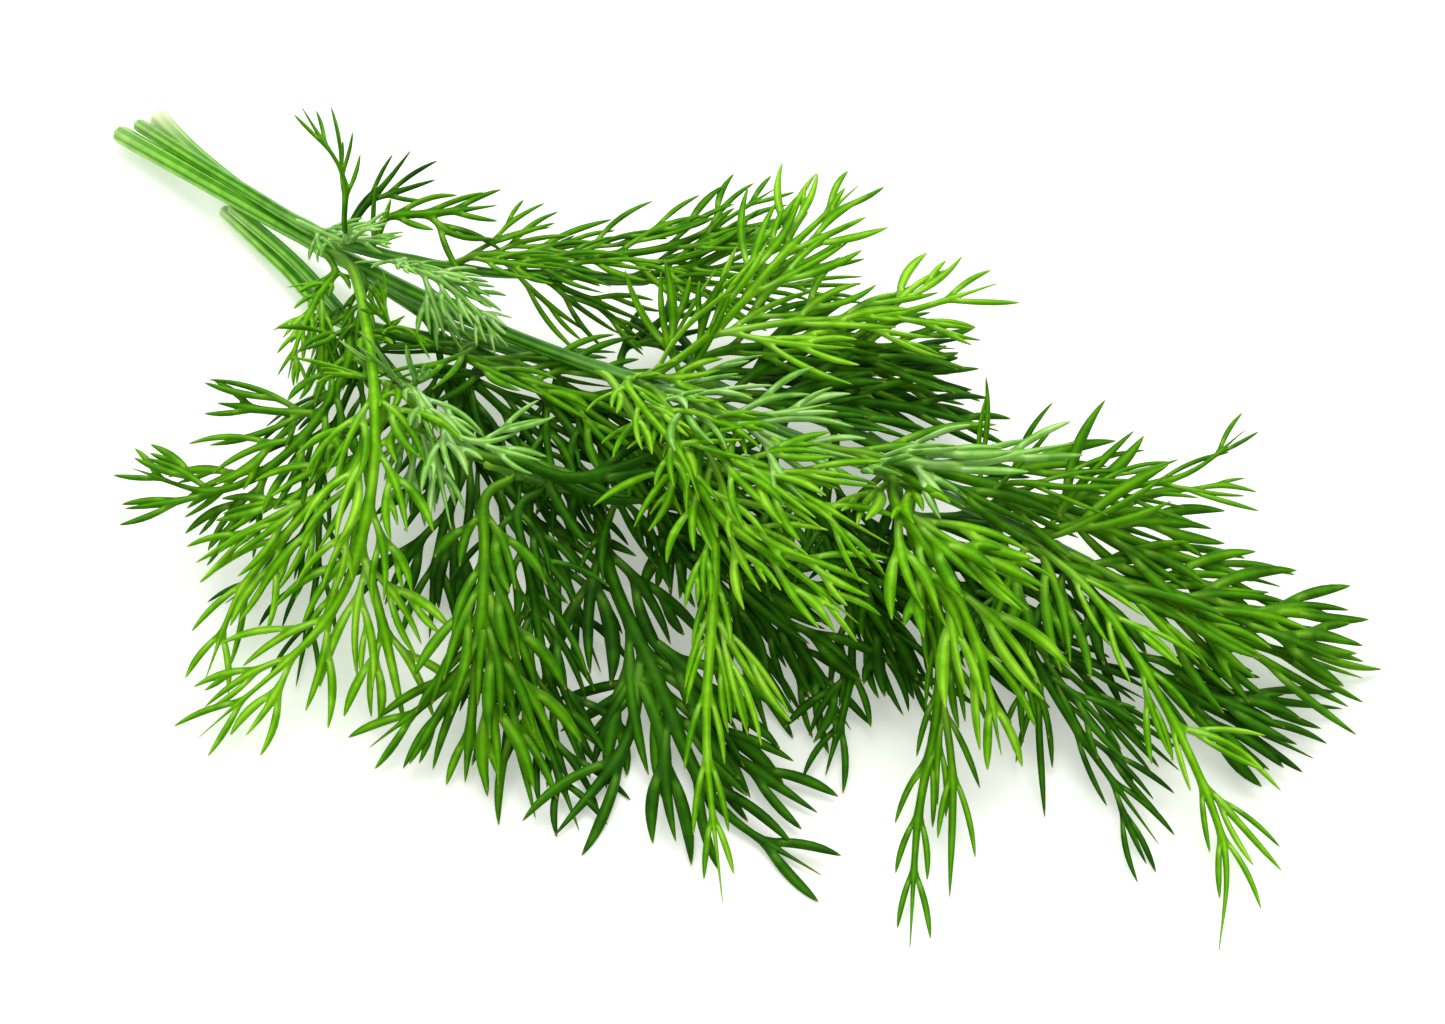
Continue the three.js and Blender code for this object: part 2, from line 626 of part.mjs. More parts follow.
// A pinna leaves its rib at one side, sweeps forward and droops, and ends where it would meet
// another strand.
function pinna(rib, k, side, reach, others) {
  const along = rib.points[k + 1].clone().sub(rib.points[k - 1]).normalize();
  const across = new THREE.Vector3(0, 0, 1).cross(along).normalize().multiplyScalar(side);
  const share = k / (rib.points.length - 1);
  const angle = THREE.MathUtils.degToRad(PINNA_ANGLE);
  const way = along.multiplyScalar(Math.cos(angle)).addScaledVector(across, Math.sin(angle));
  way.z -= PINNA_DROOP;
  const start = side > 0 ? PAIR_STARTS.left : PAIR_STARTS.right;
  const from = rib.points[k].clone().lerp(rib.points[k + 1], start);
  for (let length = reach * (1 - PINNA_FALLOFF * share); length >= PINNA_LEAST; length -= 1) {
    const tip = from.clone().addScaledVector(way, length);
    tip.z = Math.max(tip.z, PINNA_TIP_RADIUS);
    const radii = [PINNA_RADIUS, PINNA_TIP_RADIUS];
    const strand = { owner: rib.owner, points: [from, tip], radii };
    const outerPoints = [from.clone().lerp(tip, OWN_LEAF_SHARE), tip];
    const outer = { owner: '', points: outerPoints, radii };
    if (clears(strand, others) && clears(outer, others)) return strand;
  }
  return null;
}

// Whether a pinna clears every strand of the other pieces.
function clears(strand, others) {
  return others.every((other) => (
    other.owner === strand.owner || other.points.slice(1).every((_, j) => !shortfall(strand, 0, other, j))
  ));
}

function colourMaterial(colour) {
  return new THREE.MeshStandardMaterial({ color: colour, roughness: 0.5, metalness: 0 });
}

const bunch = new THREE.Group();
for (const stem of stems) {
  const mesh = new THREE.Mesh(tube(stem, STEM_SIDES), colourMaterial(STEMS[stem.owner].colour));
  mesh.name = stem.owner;
  bunch.add(mesh);
}

const grown = [...stems, ...mains, ...sides];
for (const [name, leaf] of Object.entries(LEAVES)) {
  const ribs = [...mains, ...sides].filter((strand) => strand.owner === name);
  const pinnae = [];
  ribs.forEach((rib, n) => {
    const gap = Math.max(1, Math.round(PINNA_SPACING / RIB_STEP));
    for (let k = 1; k < rib.points.length - 1; k += gap) {
      for (const side of [-1, 1]) {
        const strand = pinna(rib, k, side, leaf.ribs[n].reach, grown);
        if (strand) {
          pinnae.push(strand);
          grown.push(strand);
        }
      }
    }
  });
  const solids = [...ribs.map((rib) => tube(rib, RIB_SIDES)), ...pinnae.map((p) => tube(p, PINNA_SIDES))];
  const mesh = new THREE.Mesh(joined(solids), colourMaterial(TONES[leaf.tone]));
  mesh.name = name;
  bunch.add(mesh);
}

// The origin is under the middle of the bunch, on the surface it lies on.
const box = new THREE.Box3().setFromObject(bunch);
const middle = box.getCenter(new THREE.Vector3());
bunch.position.set(-middle.x, -middle.y, -box.min.z);

export default bunch;
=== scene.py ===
# %% [markdown]
# # A bunch of fresh dill
#
# Dill is a soft herb. A few ridged stems carry leaves that are cut so finely that nothing of a
# leaf's blade is left but threads. Each leaf repeats one rule at every size: a rib forks into
# pinnae on both sides, a pinna forks into threads, and some threads fork once more. This script
# grows that leaf with mesh extrusions, finishes it with a leaf material, and sets it in soft light.

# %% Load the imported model
import math
import random

import bmesh
import bpy
from mathutils import Matrix, Quaternion, Vector


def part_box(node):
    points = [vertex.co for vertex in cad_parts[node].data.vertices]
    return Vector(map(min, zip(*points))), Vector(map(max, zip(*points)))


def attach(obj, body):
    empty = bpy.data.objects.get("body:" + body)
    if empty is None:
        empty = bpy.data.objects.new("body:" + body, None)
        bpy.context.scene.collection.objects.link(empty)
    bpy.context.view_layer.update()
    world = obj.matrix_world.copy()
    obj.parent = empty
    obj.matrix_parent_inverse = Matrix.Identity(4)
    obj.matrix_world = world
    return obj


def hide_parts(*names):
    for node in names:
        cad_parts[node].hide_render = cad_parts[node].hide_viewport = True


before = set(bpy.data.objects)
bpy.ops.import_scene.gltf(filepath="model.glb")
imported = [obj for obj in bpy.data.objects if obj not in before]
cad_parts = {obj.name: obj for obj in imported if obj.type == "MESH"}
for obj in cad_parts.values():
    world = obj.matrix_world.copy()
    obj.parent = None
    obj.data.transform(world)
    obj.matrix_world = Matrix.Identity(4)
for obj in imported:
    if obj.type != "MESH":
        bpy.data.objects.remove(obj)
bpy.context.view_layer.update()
MM = 0.001
UP = Vector((0, 0, 1))

# %% [markdown]
# ## Where the stems and ribs run
#
# A bunch has no symmetry to lean on: each stem and rib lies where it fell. So each one is a short
# list of points, in millimetres, that a smooth curve is drawn through. The lists are those of the
# imported model, and one stem's box in that model says how far the whole bunch is shifted.
# A leaf is (stem, share of the stem's length where it starts, colour tone, habit, bare share of
# its main rib, ribs), and a rib is (longest pinna, points). A pale tone is partly a painted sheen
# and a dark tone partly painted shade. The first rib carries the others.

# %% Stem and leaf routes
STEM_ROUTES = {
    "front_stem": (
        (-141, 13, 3), (-85, 8, 10), (-45, 6, 17), (0, 12, 20), (35, 19, 17), (57, 23, 13),
    ),
    "middle_stem": (
        (-139, 16, 4), (-112, 12, 8), (-85, 8, 14), (-60, 13, 18), (-47, 20, 19), (-34, 28, 18),
    ),
    "back_stem": (
        (-138, 20, 3), (-126, 17, 3), (-108, 13, 5), (-85, 10, 6), (-60, 7, 9), (-35, 10, 12),
        (-14, 17, 15), (5, 24, 12), (22, 28, 9),
    ),
    "lower_stem": (
        (-114, 10, 2), (-96, 5, 3), (-79, 0, 5), (-57, 6, 7), (-36, 5, 8), (-10, 1, 8), (20, -2, 5),
    ),
    "side_stem": (
        (-112, 10, 4), (-93, 5, 6), (-74, -3, 10), (-55, -11, 13), (-40, -15, 13), (-25, -13, 13),
        (-12, -6, 11),
    ),
}
LEAVES = {
    "leaf_upright": ("middle_stem", 0.53, "mid", "wispy", 0.5, (
        (5, (
            (-82, 6, 20), (-84, 10, 29), (-90, 12, 32), (-97, 15, 34),
        )),
        (4, (
            (-83, 9, 27), (-88, 14, 32), (-93, 18, 34),
        )),
    )),
    "leaf_back_dark": ("middle_stem", 0.5, "dark", "fine", 0.15, (
        (7, (
            (-84, 13, 18), (-82, 18, 22), (-82, 25, 24),
        )),
        (6, (
            (-83, 15, 20), (-74, 22, 24),
        )),
    )),
    "leaf_back_fan": ("middle_stem", 0.56, "mid", "feathery", 0.15, (
        (8, (
            (-79, 12, 20), (-70, 15, 24), (-60, 21, 27),
        )),
        (7, (
            (-70, 14, 23), (-64, 14, 23), (-57, 17, 24),
        )),
    )),
    "leaf_upper": ("middle_stem", 0.71, "mid", "fine", 0.15, (
        (13, (
            (-60, 14, 21), (-45, 23, 22), (-33, 35, 22), (-27, 55, 22),
        )),
        (11, (
            (-56, 16, 19), (-45, 20, 16), (-32, 26, 10),
        )),
    )),
    "leaf_upper_tip": ("middle_stem", 0.97, "mid", "fine", 0.15, (
        (11, (
            (-33, 29, 20), (-27, 35, 22), (-23, 47, 24),
        )),
        (13, (
            (-31, 29, 19), (-20, 38, 17), (-12, 54, 15),
        )),
    )),
    "leaf_crown": ("front_stem", 0.6, "bright", "feathery", 0.15, (
        (14, (
            (-17, 12, 25), (-13, 20, 30), (-12, 35, 33), (-10, 54, 34),
        )),
        (15, (
            (-13, 18, 28), (-5, 27, 28), (5, 41, 23), (15, 59, 21),
        )),
    )),
    "leaf_crown_side": ("front_stem", 0.63, "mid", "feathery", 0.15, (
        (14, (
            (-16, 15, 23), (-8, 25, 22), (2, 36, 18), (14, 48, 14),
        )),
        (13, (
            (-8, 25, 21), (2, 31, 17), (15, 45, 11),
        )),
    )),
    "leaf_right_upper": ("front_stem", 0.67, "dark", "swept", 0.15, (
        (15, (
            (-7, 14, 21), (5, 23, 19), (15, 32, 15), (28, 40, 10),
        )),
    )),
    "leaf_pale": ("front_stem", 0.62, "pale", "feathery", 0.15, (
        (13, (
            (-11, 5, 27), (-2, 3, 30), (6, 7, 32), (12, 13, 33),
        )),
        (11, (
            (0, 4, 30), (10, 6, 28), (19, 11, 26),
        )),
    )),
    "leaf_tuft": ("front_stem", 0.59, "bright", "fine", 0.15, (
        (9, (
            (-20, 2, 26), (-12, -3, 29), (-2, -8, 31), (5, -13, 29),
        )),
        (8, (
            (-4, -7, 31), (5, -1, 33),
        )),
    )),
    "leaf_centre": ("front_stem", 0.61, "bright", "feathery", 0.2, (
        (14, (
            (-13, 3, 25), (0, -3, 29), (15, -3, 30), (32, 0, 25),
        )),
        (11, (
            (3, -3, 29), (12, -1, 30), (21, 2, 29),
        )),
    )),
    "leaf_centre_low": ("front_stem", 0.66, "bright", "feathery", 0.15, (
        (14, (
            (-5, 2, 24), (0, -7, 26), (10, -13, 28), (24, -14, 27), (35, -13, 21),
        )),
    )),
    "leaf_hanging": ("front_stem", 0.57, "bright", "trailing", 0.3, (
        (9, (
            (-18, 0, 23), (-4, -7, 24), (8, -14, 25), (15, -24, 23), (25, -40, 14), (40, -57, 3),
        )),
        (10, (
            (16, -25, 22), (24, -28, 18), (33, -29, 12),
        )),
    )),
    "leaf_outer": ("front_stem", 0.8, "pale", "swept", 0.15, (
        (11, (
            (24, 14, 26), (33, 16, 29), (40, 24, 29), (46, 31, 29),
        )),
        (6, (
            (28, 14, 27), (36, 10, 28),
        )),
    )),
    "leaf_outer_low": ("front_stem", 0.82, "bright", "swept", 0.15, (
        (14, (
            (28, 7, 25), (40, 1, 25), (52, -6, 20), (62, -14, 9),
        )),
        (13, (
            (31, 5, 25), (42, 5, 26), (55, 7, 23),
        )),
    )),
    "leaf_long_hanging": ("front_stem", 0.84, "mid", "trailing", 0.3, (
        (9, (
            (30, 8, 20), (42, -2, 18), (50, -14, 11), (56, -28, 5), (67, -47, 2),
        )),
        (8, (
            (49, -12, 13), (57, -20, 7), (67, -36, 2),
        )),
    )),
    "leaf_far_top": ("front_stem", 0.89, "mid", "wispy", 0.15, (
        (13, (
            (37, 24, 20), (48, 29, 21), (60, 41, 20), (64, 55, 21),
        )),
    )),
    "leaf_tip_upper": ("front_stem", 0.95, "mid", "swept", 0.15, (
        (13, (
            (50, 26, 17), (65, 32, 13), (81, 40, 8),
        )),
    )),
    "leaf_tip": ("front_stem", 0.99, "mid", "swept", 0.25, (
        (15, (
            (62, 22, 14), (75, 24, 11), (99, 36, 2),
        )),
        (12, (
            (68, 23, 13), (80, 29, 11), (92, 36, 8),
        )),
    )),
    "leaf_tip_lower": ("front_stem", 0.97, "dark", "swept", 0.15, (
        (12, (
            (58, 16, 12), (75, 14, 7), (100, 18, 2),
        )),
        (10, (
            (75, 14, 7), (86, 21, 4), (99, 29, 2),
        )),
    )),
    "leaf_lower_right": ("front_stem", 0.93, "bright", "trailing", 0.22, (
        (9, (
            (58, 17, 15), (72, 10, 14), (87, 2, 8), (98, -7, 4), (105, -21, 2),
        )),
        (8, (
            (82, 6, 11), (90, 9, 8), (99, 9, 3),
        )),
        (6, (
            (91, 0, 6), (106, -3, 2),
        )),
    )),
    "leaf_bottom_right": ("front_stem", 0.91, "dark", "trailing", 0.25, (
        (12, (
            (46, 14, 13), (50, 8, 13), (65, 0, 7), (88, -9, 1),
        )),
        (12, (
            (54, 5, 12), (66, 5, 8), (84, 4, 2),
        )),
        (8, (
            (55, 4, 11), (62, -3, 6), (71, -15, 1),
        )),
    )),
    "leaf_bottom_mid": ("back_stem", 0.9, "dark", "feathery", 0.25, (
        (13, (
            (11, 14, 10), (18, 4, 9), (32, -3, 6), (49, -8, 2),
        )),
        (9, (
            (25, -3, 7), (33, -12, 4), (39, -28, 1),
        )),
    )),
    "leaf_table": ("lower_stem", 0.69, "dark", "coarse", 0.3, (
        (15, (
            (-20, -6, 8), (-10, -18, 8), (8, -30, 6), (28, -42, 2), (49, -43, 1),
        )),
        (11, (
            (6, -29, 6), (11, -42, 3), (11, -61, 1),
        )),
        (6, (
            (4, -28, 6), (4, -37, 3), (0, -45, 1),
        )),
        (9, (
            (14, -34, 4), (42, -34, 1),
        )),
    )),
    "leaf_bottom_left": ("side_stem", 0.82, "mid", "swept", 0.3, (
        (11, (
            (-31, -22, 15), (-21, -35, 17), (-15, -48, 11), (-22, -65, 2),
        )),
        (13, (
            (-19, -38, 15), (-8, -47, 8), (7, -60, 1),
        )),
        (11, (
            (-14, -46, 12), (-6, -61, 1),
        )),
    )),
    "leaf_bottom_fill": ("side_stem", 0.87, "dark", "feathery", 0.25, (
        (13, (
            (-27, -19, 12), (-16, -30, 12), (-4, -41, 6), (9, -46, 1),
        )),
        (12, (
            (-15, -32, 10), (-4, -45, 5), (14, -58, 1),
        )),
    )),
    "leaf_left_hanging": ("front_stem", 0.28, "bright", "feathery", 0.45, (
        (13, (
            (-77, 2, 17), (-65, -9, 21), (-50, -25, 25), (-40, -40, 22), (-37, -55, 13), (-45, -79, 2),
        )),
        (12, (
            (-38, -44, 19), (-30, -50, 13), (-19, -59, 2),
        )),
    )),
    "leaf_left_fork": ("side_stem", 0.57, "bright", "feathery", 0.15, (
        (13, (
            (-56, -15, 18), (-49, -27, 21), (-51, -42, 17), (-54, -56, 9), (-51, -70, 2),
        )),
        (9, (
            (-51, -40, 18), (-56, -46, 15), (-63, -57, 10),
        )),
    )),
    "leaf_left": ("lower_stem", 0.3, "mid", "feathery", 0.2, (
        (14, (
            (-72, -6, 12), (-65, -15, 16), (-61, -32, 17), (-66, -46, 15), (-82, -50, 14),
        )),
        (11, (
            (-62, -26, 17), (-68, -30, 18), (-77, -34, 18),
        )),
        (9, (
            (-61, -39, 15), (-62, -46, 10), (-68, -52, 6),
        )),
    )),
    "leaf_left_low": ("lower_stem", 0.35, "dark", "wispy", 0.3, (
        (11, (
            (-68, -8, 8), (-62, -23, 10), (-55, -41, 5), (-59, -56, 1),
        )),
        (10, (
            (-57, -35, 7), (-49, -44, 4), (-39, -62, 1),
        )),
    )),
    "leaf_small_tuft": ("lower_stem", 0.26, "mid", "young", 0.15, (
        (6, (
            (-78, -4, 11), (-76, -9, 11), (-73, -14, 5),
        )),
        (6, (
            (-77, -6, 12), (-69, -12, 6),
        )),
    )),
    "leaf_curled": ("side_stem", 0.62, "pale", "fine", 0.25, (
        (9, (
            (-52, -15, 21), (-43, -21, 26), (-28, -34, 20),
        )),
        (9, (
            (-48, -18, 23), (-36, -22, 26), (-29, -19, 27), (-27, -14, 28),
        )),
        (9, (
            (-48, -19, 22), (-42, -26, 20), (-38, -34, 16),
        )),
    )),
    "leaf_dark_blade": ("side_stem", 0.78, "dark", "coarse", 0.3, (
        (9, (
            (-30, -14, 16), (-18, -13, 19), (-4, 1, 26),
        )),
        (8, (
            (-27, -15, 15), (-17, -13, 15), (-7, -7, 15),
        )),
    )),
    "leaf_dark_back": ("back_stem", 0.67, "dark", "feathery", 0.4, (
        (9, (
            (-33, 18, 11), (-32, 27, 10), (-30, 40, 8),
        )),
        (8, (
            (-32, 20, 10), (-25, 34, 7),
        )),
    )),
    "leaf_mid_fill": ("lower_stem", 0.55, "dark", "feathery", 0.15, (
        (16, (
            (-34, 1, 11), (-19, -5, 11), (0, -7, 10), (17, -12, 6), (33, -20, 2),
        )),
        (15, (
            (-16, -5, 9), (-4, 0, 8), (11, 3, 7),
        )),
    )),
    "leaf_under": ("lower_stem", 0.44, "dark", "swept", 0.15, (
        (14, (
            (-54, -1, 6), (-44, -10, 7), (-22, -18, 5), (-1, -32, 1),
        )),
        (12, (
            (-43, -11, 6), (-37, -27, 4), (-27, -43, 2),
        )),
    )),
    "leaf_inner": ("back_stem", 0.61, "dark", "feathery", 0.15, (
        (14, (
            (-37, 6, 10), (-23, 1, 12), (10, -4, 11),
        )),
        (13, (
            (-26, 2, 11), (-10, 5, 11), (6, 7, 10),
        )),
    )),
    "leaf_under_right": ("back_stem", 0.97, "dark", "swept", 0.15, (
        (14, (
            (19, 20, 10), (31, 13, 9), (47, 9, 7), (73, 12, 3),
        )),
        (14, (
            (24, 17, 10), (38, 19, 10), (57, 21, 7),
        )),
    )),
    "leaf_node_pale": ("middle_stem", 0.42, "pale", "young", 0.38, (
        (7, (
            (-81, 5, 19), (-78, 5, 23), (-74, 9, 26),
        )),
        (5, (
            (-80, 5, 21), (-71, 6, 24),
        )),
    )),
    "leaf_node_hanging": ("front_stem", 0.26, "bright", "young", 0.4, (
        (6, (
            (-82, 3, 13), (-79, -5, 16), (-77, -13, 14), (-75, -19, 10),
        )),
        (5, (
            (-79, -5, 16), (-73, -12, 12), (-70, -17, 7),
        )),
    )),
    "leaf_node_drop": ("front_stem", 0.31, "mid", "young", 0.4, (
        (7, (
            (-75, 2, 14), (-70, -6, 14), (-66, -13, 9),
        )),
    )),
    "leaf_node_side": ("middle_stem", 0.63, "pale", "young", 0.3, (
        (8, (
            (-70, 5, 21), (-60, 4, 24), (-52, 4, 21), (-47, 3, 17),
        )),
        (7, (
            (-62, 4, 24), (-55, -1, 17),
        )),
    )),
    "leaf_node_low": ("side_stem", 0.43, "bright", "young", 0.35, (
        (7, (
            (-65, -5, 16), (-61, -4, 19), (-56, -4, 17),
        )),
        (6, (
            (-65, -5, 18), (-67, -4, 24),
        )),
    )),
    "leaf_inner_upper": ("back_stem", 0.52, "mid", "feathery", 0.15, (
        (15, (
            (-54, 0, 13), (-40, 2, 14), (-22, 2, 13), (-7, 0, 10),
        )),
        (12, (
            (-42, 2, 14), (-32, 3, 15), (-22, 7, 15),
        )),
    )),
    "leaf_inner_low": ("lower_stem", 0.5, "dark", "feathery", 0.15, (
        (14, (
            (-51, -1, 11), (-35, -5, 9), (-12, -15, 4),
        )),
    )),
    "leaf_inner_thin": ("back_stem", 0.44, "dark", "wispy", 0.35, (
        (11, (
            (-62, 4, 9), (-50, -6, 6), (-27, -19, 2),
        )),
    )),
    "leaf_back_sweep": ("back_stem", 0.8, "dark", "swept", 0.2, (
        (15, (
            (-18, 19, 13), (-8, 27, 13), (5, 35, 11), (20, 43, 5),
        )),
        (14, (
            (-8, 27, 13), (0, 39, 12), (7, 51, 8),
        )),
    )),
    "leaf_right_fill": ("front_stem", 0.78, "mid", "swept", 0.15, (
        (15, (
            (18, 15, 22), (40, 25, 18), (64, 37, 9),
        )),
    )),
    "leaf_tip_middle": ("front_stem", 0.94, "mid", "swept", 0.15, (
        (14, (
            (49, 18, 15), (65, 25, 12), (81, 34, 6),
        )),
    )),
    "leaf_low_sweep": ("back_stem", 0.85, "dark", "swept", 0.15, (
        (14, (
            (0, 11, 10), (15, 7, 9), (35, 5, 7), (60, 6, 2),
        )),
        (12, (
            (17, 7, 9), (29, 2, 6), (44, -5, 2),
        )),
    )),
    "leaf_table_side": ("lower_stem", 0.8, "dark", "swept", 0.15, (
        (13, (
            (2, -9, 8), (15, -9, 7), (38, -19, 2),
        )),
        (11, (
            (4, -10, 7), (15, -17, 4), (28, -27, 1),
        )),
    )),
}

# %% [markdown]
# ## A smooth path with a frame
#
# Everything that grows needs to know, at any distance along its path, where it is, which way it
# heads and which way its upper side faces. A Catmull-Rom curve passes through every point of a
# route, which makes the routes easy to write. The upper side is carried along the path and pulled
# gently back towards the sky, as a leaf turns its face to the light.

# %% Paths
def curve_points(route, pieces=8):
    """Points of a smooth curve through a route, pieces of them to each span."""
    ends = [route[0] * 2 - route[1], *route, route[-1] * 2 - route[-2]]
    points = []
    for a, b, c, d in zip(ends, ends[1:], ends[2:], ends[3:]):
        for k in range(pieces):
            t = k / pieces
            bend = (a * 2 - b * 5 + c * 4 - d) * (t * t) + (b * 3 - a - c * 3 + d) * (t ** 3)
            points.append((b * 2 + (c - a) * t + bend) / 2)
    points.append(route[-1].copy())
    return points


class Path:
    """Points with the distance, heading and upper side at each."""

    def __init__(self, points, upper, roll=0.0, skyward=0.25):
        self.points = points
        self.reach = [0.0]
        for a, b in zip(points, points[1:]):
            self.reach.append(self.reach[-1] + (b - a).length)
        self.length = self.reach[-1]
        self.heads = []
        self.uppers = []
        last = len(points) - 1
        for k in range(last + 1):
            head = (points[min(k + 1, last)] - points[max(k - 1, 0)]).normalized()
            upper = upper + UP * skyward
            upper = (upper - head * upper.dot(head)).normalized()
            turned = upper.copy()
            turned.rotate(Quaternion(head, roll * self.reach[k] / max(self.length, 1e-9)))
            self.heads.append(head)
            self.uppers.append(turned)

    def at(self, distance):
        """Place, heading and upper side at a distance along the path."""
        k = 0
        while k < len(self.reach) - 2 and self.reach[k + 1] < distance:
            k += 1
        t = (distance - self.reach[k]) / max(self.reach[k + 1] - self.reach[k], 1e-9)
        place = self.points[k].lerp(self.points[k + 1], t)
        head = self.heads[k].lerp(self.heads[k + 1], t).normalized()
        upper = self.uppers[k].lerp(self.uppers[k + 1], t)
        upper = (upper - head * upper.dot(head)).normalized()
        return place, head, upper


def in_metres(route, shift=Vector((0, 0, 0))):
    """A route's points in metres, moved by a shift."""
    return [Vector(point) * MM + shift for point in route]


drawn = curve_points(in_metres(STEM_ROUTES["front_stem"]))
drawn_middle = Vector([(min(p[i] for p in drawn) + max(p[i] for p in drawn)) / 2 for i in range(3)])
box_low, box_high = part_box("front_stem")
SHIFT = (box_low + box_high) / 2 - drawn_middle
SHIFT.z = 0
stem_paths = {
    name: Path(curve_points(in_metres(route, SHIFT)), UP) for name, route in STEM_ROUTES.items()
}
print("shift to the model in mm:", [round(v / MM, 1) for v in SHIFT])
print({name: round(path.length / MM) for name, path in stem_paths.items()})

# %% [markdown]
# ## Growing by extrusion
#
# A thread could be a curve with a bevel, but two curves that cross never join, and dill's forks
# are smooth and slightly webbed. Box modelling gives that join for nothing. A strand is a chain
# of four-sided rings: its end face is extruded, and the new ring is put where the path says. Where
# it forks, two rings stand close together as a collar, and the collar's flank is extruded in turn
# as the first face of the side strand. One Subdivision level rounds it all, and the web is there.
#
# Each ring also keeps three numbers for the material: how far along its strand it is, which flank
# of the strand it is on, and a tint that one pinna shares.

# %% Rings, collars and flanks
SURFACE_CLEAR = 0.35 * MM  # of a side strand's path above the surface
TIP = 0.2 * MM  # the least width and thickness of a strand
THREAD_STEP = 3.2 * MM  # the longest step between a thread's rings, and a pinna's
RIB_STEP = 4 * MM
STEM_STEP = 1.6 * MM


def opened_mesh():
    """An empty bmesh with the layers that the leaf material reads."""
    bm = bmesh.new()
    layers = [bm.verts.layers.float.new(name) for name in ("along", "flank", "tint")]
    return bm, layers


def corners_of(face, upper):
    """Which corner of a strand's section each vertex of a face is: left or right, up or down."""
    middle = face.calc_center_median()
    left = upper.cross(face.normal)
    return [
        (math.copysign(1, (v.co - middle).dot(left)), math.copysign(1, (v.co - middle).dot(upper)))
        for v in face.verts
    ]


def ring(bm, layers, face, corners, spot, width, thick, along, tint):
    """Extrudes an end face and makes the new ring at a spot, a (place, heading, upper side)."""
    place, head, upper = spot
    grown = bmesh.ops.extrude_discrete_faces(bm, faces=[face])["faces"][0]
    left = upper.cross(head)
    for vert, (across, over) in zip(grown.verts, corners):
        vert.co = place + left * (across * width / 2) + upper * (over * thick / 2)
        vert.co.z = max(vert.co.z, 0.0)
        vert[layers[0]] = along
        vert[layers[1]] = across
        vert[layers[2]] = tint
    return grown


def flank(face, corners, side):
    """The face beside an end face on one side, and its corners as a new strand's start."""
    rims = dict(zip(face.verts, corners))
    edge = next(e for e in face.edges if all(rims[v][0] == side for v in e.verts))
    beside = next(other for other in edge.link_faces if other is not face)
    around = list(beside.verts)
    turned = []
    for k, vert in enumerate(around):
        if vert in rims:
            turned.append((-side, rims[vert][1]))
        else:
            partner = around[k - 1] if around[k - 1] in rims else around[(k + 1) % 4]
            turned.append((side, rims[partner][1]))
    return beside, turned


def strand(bm, layers, start, path, shape, forks, tint):
    """Grows a strand along a path from a start, a face and its corners. Returns the forks.

    A fork is (start of the side strand, side, distance, spot).

    shape is (width, thickness, collar length, longest step, waist, share where it tapers). The
    waist is how much of its width a strand has at its start.
    """
    width, thick, collar, longest, waist, taper = shape
    marks = []
    for fork in forks:
        marks += [(fork - collar / 2, None), (fork + collar / 2, fork)]
    marks.append((path.length, None))
    face, corners = start
    flanks = []
    done = 0.0
    marks.insert(0, (min(width * 0.8, marks[0][0] / 2), None))
    for mark, fork in marks:
        pieces = max(1, math.ceil((mark - done) / longest - 0.25))
        for k in range(1, pieces + 1):
            distance = done + (mark - done) * k / pieces
            share = distance / path.length
            slim = 1 - max(0.0, (share - taper) / (1 - taper)) ** 2
            slim *= waist + (1 - waist) * min(1.0, share / 0.4)
            wide = max(width * slim, TIP)
            high = max(thick * slim, TIP)
            spot = path.at(distance)
            face = ring(bm, layers, face, corners, spot, wide, high, share, tint)
        done = mark
        if fork is not None:
            for side in (-1, 1):
                flanks.append((flank(face, corners, side), side, fork, path.at(fork)))
    return flanks


# %% [markdown]
# ## Pinnae and threads
#
# A side strand leaves at a wide angle and sweeps forward as it grows, so its path is an arc in the
# plane of the leaf. It is also given a little lift out of that plane, a droop from its own weight,
# and a roll about its own length. A leaf lying on the surface can't droop through it, so the path
# never goes lower than half a thread's thickness.

# %% Arcs for side strands
def arc(start, spot, side, angles, length, lift, droop, roll):
    """The path of a strand that leaves another at a spot, to one side."""
    face, _ = start
    _, head, upper = spot
    sideways = upper.cross(head) * side
    steps = 6
    points = [face.calc_center_median()]
    for k in range(steps):
        t = (k + 0.5) / steps
        angle = math.radians(angles[0] + (angles[1] - angles[0]) * t)
        way = head * math.cos(angle) + sideways * math.sin(angle) + upper * lift * (1 - t)
        way = way.normalized() - UP * (droop * t)
        place = points[-1] + way.normalized() * (length / steps)
        place.z = max(place.z, SURFACE_CLEAR)
        points.append(place)
    return Path(points, upper, roll, 0.0)


